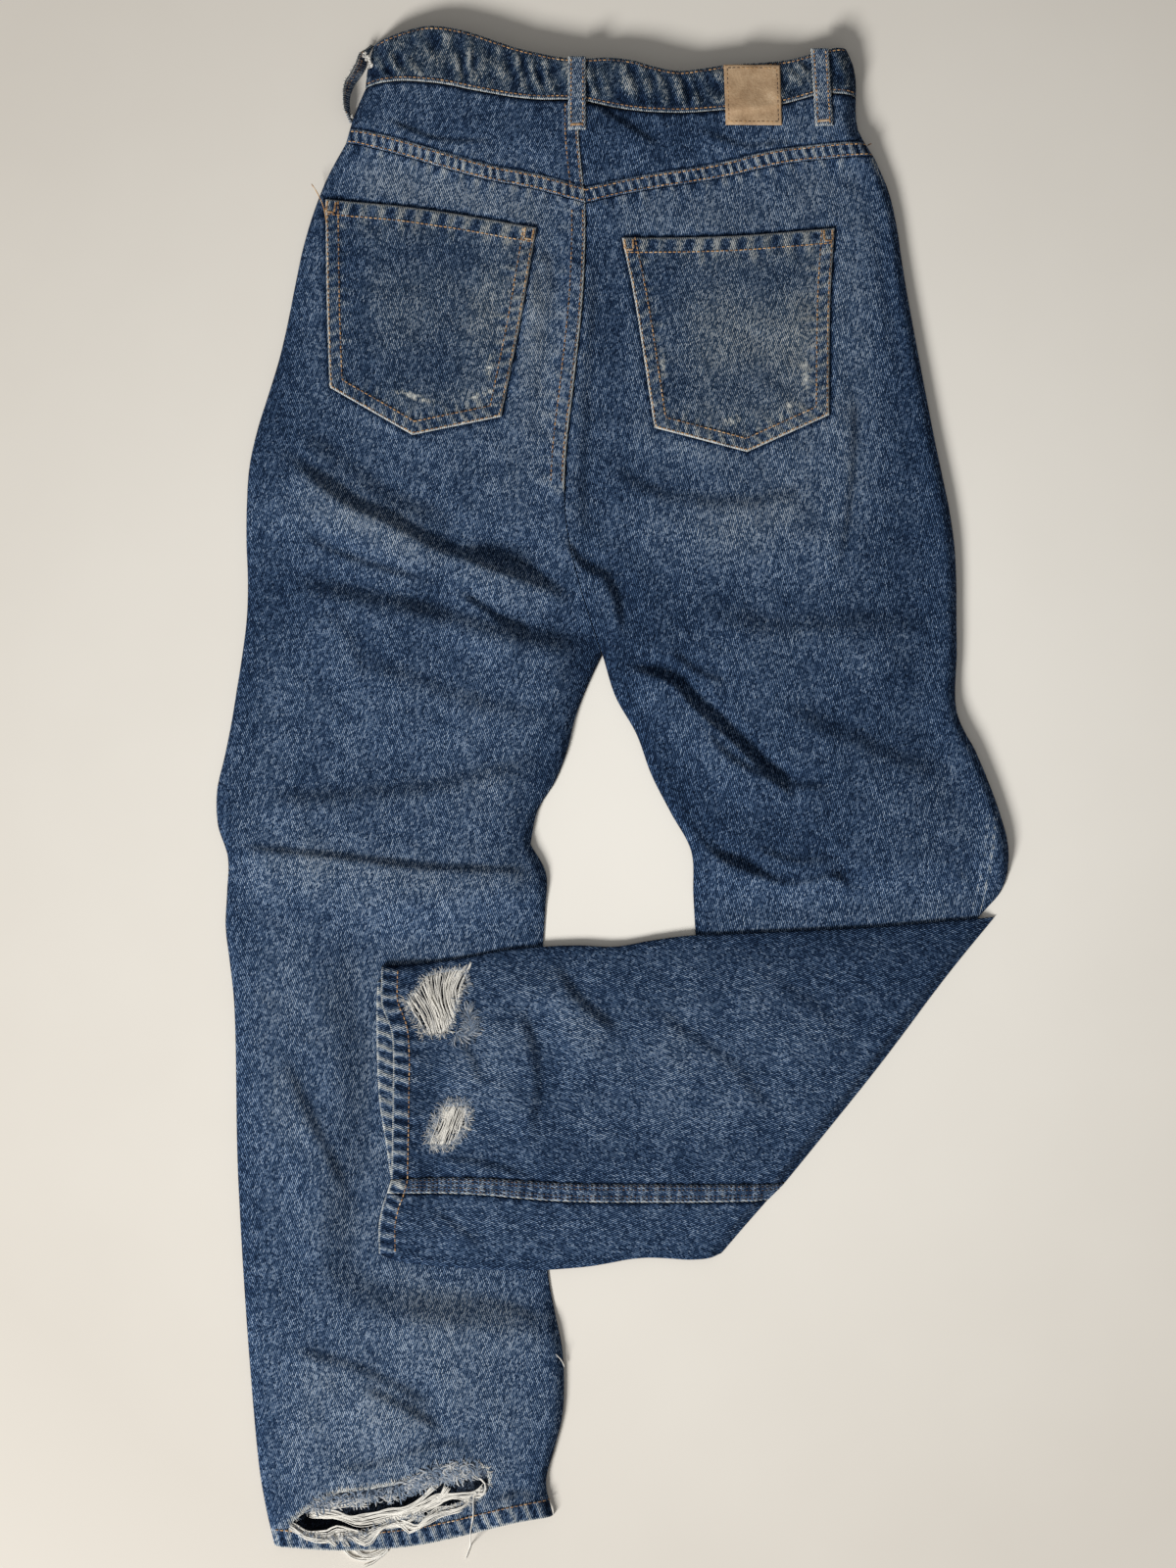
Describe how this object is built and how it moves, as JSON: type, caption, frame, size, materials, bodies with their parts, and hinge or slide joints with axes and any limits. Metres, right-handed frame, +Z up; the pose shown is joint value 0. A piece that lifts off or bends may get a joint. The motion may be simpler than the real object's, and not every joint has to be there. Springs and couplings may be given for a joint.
{
  "type": "ripped jeans",
  "caption": "Ripped blue jeans laid face down, one leg folded across the other, with frayed tears, back pockets, belt loops and a bare leather patch.",
  "frame": {"origin": "centre of the garment's footprint, on the surface it lies on", "axes": "+Z up from the surface, +Y from the hems to the waistband, +X to the viewer's right looking down at the back"},
  "size_m": [0.5649, 1.0922, 0.0162],
  "materials": {
    "denim": "worn mid-blue twill",
    "denim_inside": "pale wrong side of the twill",
    "yarn": "loose undyed cotton yarns",
    "thread": "tan topstitching",
    "leather": "smooth vegetable-tanned, matt",
    "brass": "antiqued"
  },
  "bodies": {
    "root": {"front_left_leg": "denim_inside", "front_right_leg": "denim_inside", "back_left_leg": "denim", "back_right_leg": "denim", "yoke_left": "denim", "yoke_right": "denim", "waistband_back": "denim", "waistband_front": "denim", "pocket_left": "denim", "pocket_right": "denim", "belt_loop_centre": "denim", "belt_loop_right_back": "denim", "belt_loop_left_back": "denim", "belt_loop_front_left": "denim", "belt_loop_front_right": "denim", "waist_patch": "leather", "fly_facing": "denim_inside", "waist_button": "brass", "folded_front_panel": "denim", "folded_inseam": "denim", "folded_back_strip": "denim", "folded_far_hem": "denim", "folded_hidden_layers": "denim_inside", "rip_yarns_upper": "yarn", "rip_yarns_lower": "yarn", "rip_yarns_hem": "yarn", "hem_threads": "yarn"}
  },
  "joints": []
}
